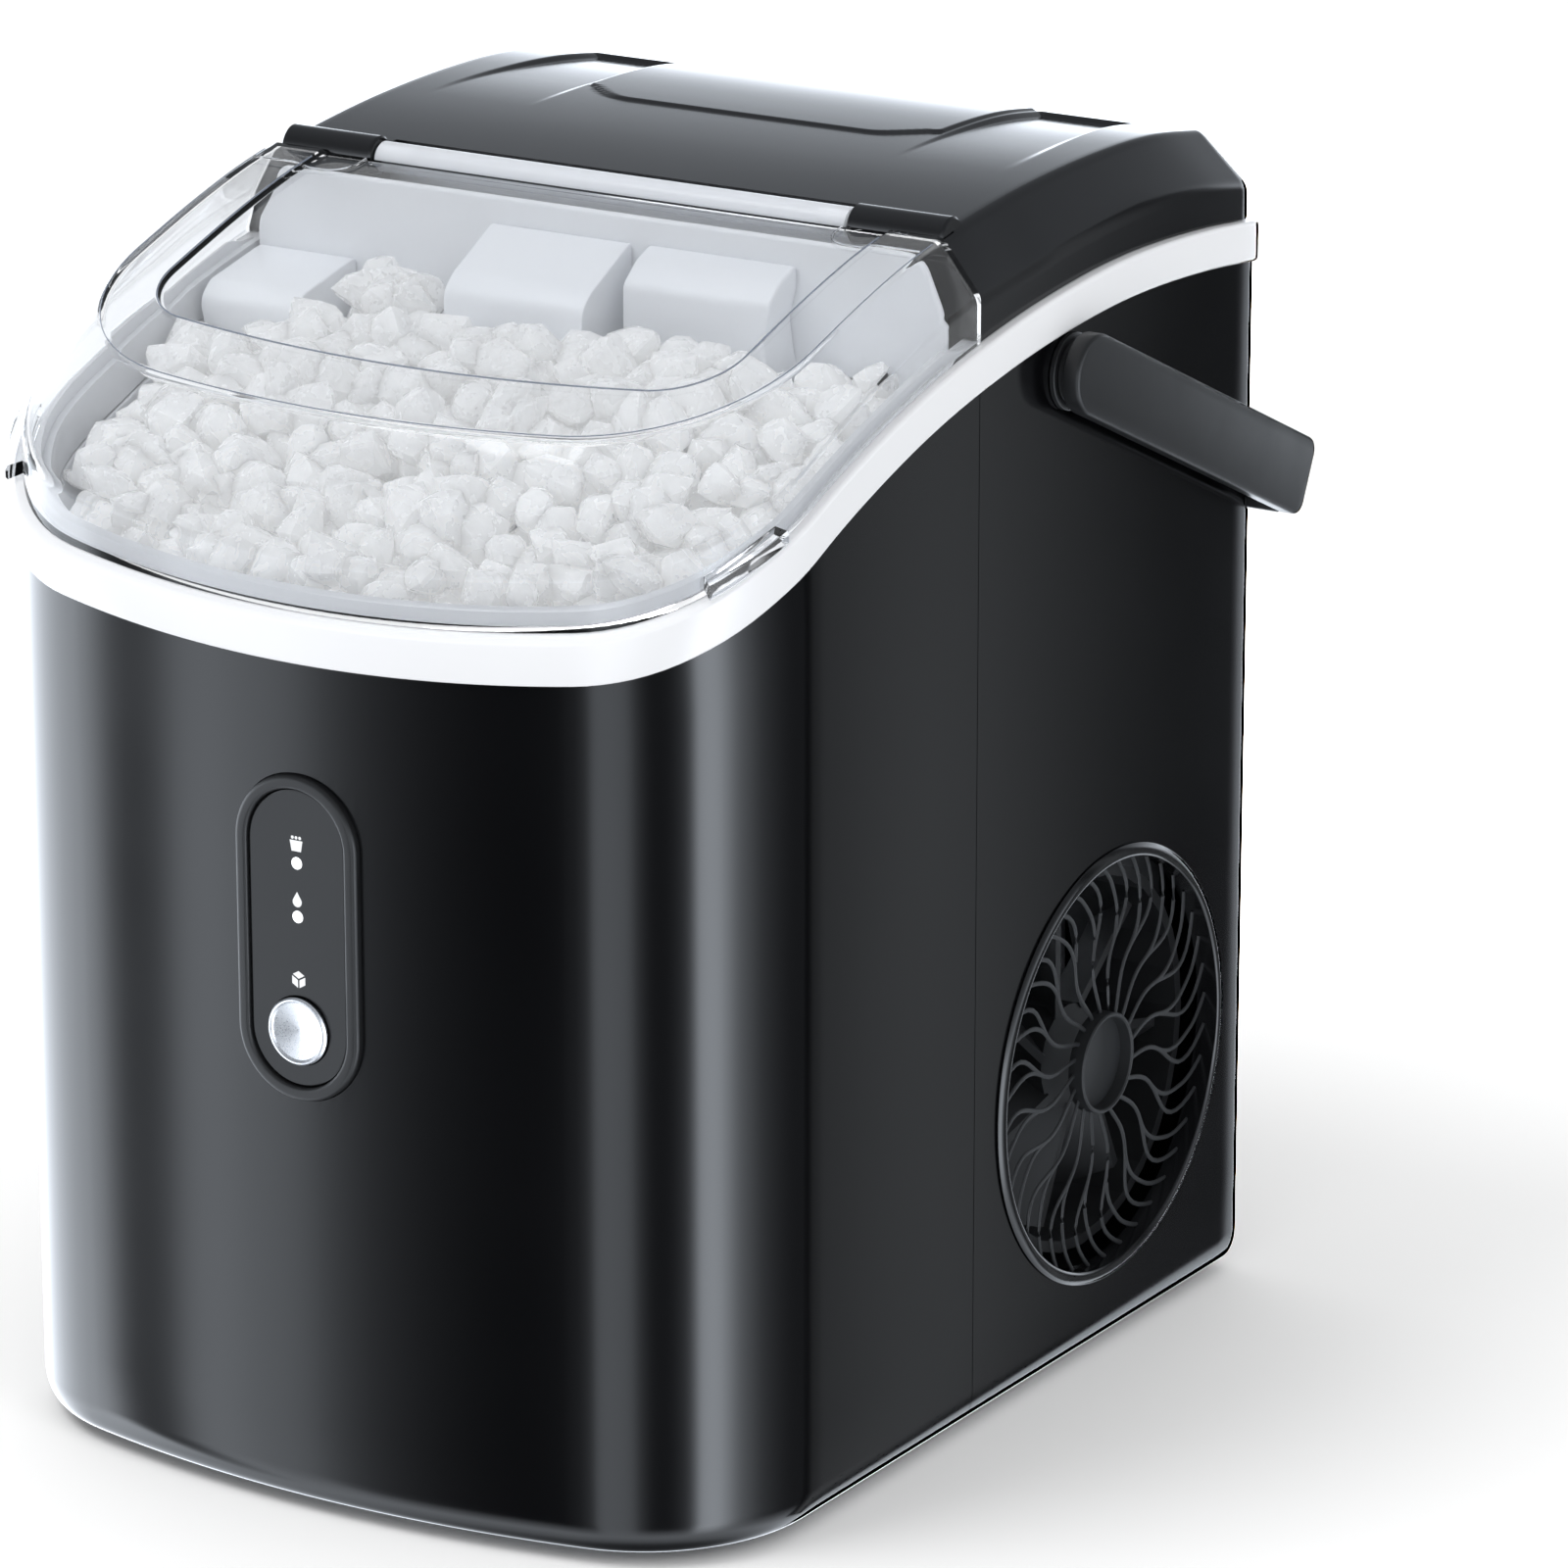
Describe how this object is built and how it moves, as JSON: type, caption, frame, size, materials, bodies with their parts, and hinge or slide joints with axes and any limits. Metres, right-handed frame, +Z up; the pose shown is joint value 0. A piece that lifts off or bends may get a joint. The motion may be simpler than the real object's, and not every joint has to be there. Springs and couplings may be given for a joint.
{
  "type": "countertop ice maker",
  "caption": "Upright countertop nugget ice maker with a hinged clear lid over the ice bin, a round side air grille, a front control panel and a folding carrying handle.",
  "frame": {"origin": "centre of the footprint box of the whole machine with its handle folded, on the surface its feet stand on", "axes": "+Z up, -Y towards the user (the front with the control panel), +X to the right as seen from the front"},
  "size_m": [0.244, 0.2978, 0.3211],
  "materials": {
    "gloss_black_steel": "gloss",
    "hood_black": "gloss",
    "satin_black": "satin",
    "gloss_black_plastic": "gloss",
    "rubber_black": "matte",
    "white_plastic": "gloss",
    "clear_plastic": "polished clear",
    "milky_plastic": "satin",
    "lamp_white": "lit white",
    "spun_aluminium": "spun",
    "stainless": "satin",
    "fin_aluminium": "satin",
    "copper_tube": "bright",
    "board_green": "satin",
    "compressor_black": "satin"
  },
  "bodies": {
    "cabinet": {"front_wrap": "gloss_black_steel", "rear_shell": "gloss_black_steel", "base_tray": "satin_black", "foot_front_left": "rubber_black", "foot_front_right": "rubber_black", "foot_rear_left": "rubber_black", "foot_rear_right": "rubber_black", "trim_band": "white_plastic", "hood": "hood_black", "liner": "white_plastic", "ice_outlet": "white_plastic", "ice_sensor": "satin_black", "ice_basket": "milky_plastic", "panel_bezel": "satin_black", "panel_face": "gloss_black_plastic", "lamp_lens_full": "lamp_white", "lamp_lens_water": "lamp_white", "control_board": "board_green", "side_grille": "satin_black", "fan_shroud": "satin_black", "fan_motor": "stainless", "condenser": "fin_aluminium", "compressor": "compressor_black", "compressor_grommet_1": "rubber_black", "compressor_grommet_2": "rubber_black", "compressor_grommet_3": "rubber_black", "evaporator": "stainless", "ice_head": "milky_plastic", "gearbox_case": "fin_aluminium", "gearbox_cover": "fin_aluminium", "gear_motor": "stainless", "inner_frame": "stainless", "discharge_pipe": "copper_tube", "suction_pipe": "copper_tube", "water_tank": "milky_plastic", "level_sensor": "satin_black", "pump": "satin_black", "water_hose": "milky_plastic", "drain_hose": "milky_plastic", "hinge_pin_left": "stainless", "hinge_pin_right": "stainless", "pivot_boss_left": "satin_black", "pivot_boss_right": "satin_black", "rear_screw_left": "stainless", "rear_screw_right": "stainless", "drain_port": "satin_black", "cord_inlet": "rubber_black", "power_board": "board_green"},
    "lid": {"lid": "clear_plastic"},
    "handle": {"handle_arm_left": "satin_black", "handle_arm_right": "satin_black", "handle_bar": "satin_black", "pivot_clip_left": "stainless", "pivot_clip_right": "stainless"},
    "button": {"power_button": "spun_aluminium"},
    "fan": {"fan": "satin_black"},
    "auger": {"auger": "stainless", "drive_gear": "milky_plastic"},
    "pinion": {"motor_pinion": "stainless"},
    "drain_plug": {"drain_plug": "rubber_black"}
  },
  "joints": [
    {"name": "lid_hinge", "type": "hinge", "parent": "cabinet", "child": "lid", "pos_m": [0, -0.00349, 0.3125], "axis": [-1, 0, 0], "range_deg": [0, 95]},
    {"name": "handle_swing", "type": "hinge", "parent": "cabinet", "child": "handle", "pos_m": [0, 0.03201, 0.273], "axis": [1, 0, 0], "range_deg": [0, 115]},
    {"name": "button_press", "type": "slide", "parent": "cabinet", "child": "button", "axis": [0, 1, 0], "range_m": [0, 0.0015], "stiffness_N_per_m": 600},
    {"name": "drain_plug_pull", "type": "slide", "parent": "cabinet", "child": "drain_plug", "axis": [0, 1, 0], "range_m": [0, 0.012]},
    {"name": "fan_spin", "type": "hinge", "parent": "cabinet", "child": "fan", "pos_m": [0.092, 0.05821, 0.0803], "axis": [1, 0, 0], "continuous": true},
    {"name": "auger_turn", "type": "hinge", "parent": "cabinet", "child": "auger", "pos_m": [-0.008, 0.01951, 0.123], "axis": [0, 0, 1], "continuous": true},
    {"name": "pinion_turn", "type": "hinge", "parent": "cabinet", "child": "pinion", "pos_m": [0.024, 0.01951, 0.103], "axis": [0, 0, 1], "continuous": true}
  ],
  "couplings": [
    {"joint": "pinion_turn", "follows": "auger_turn", "ratio": -3}
  ]
}
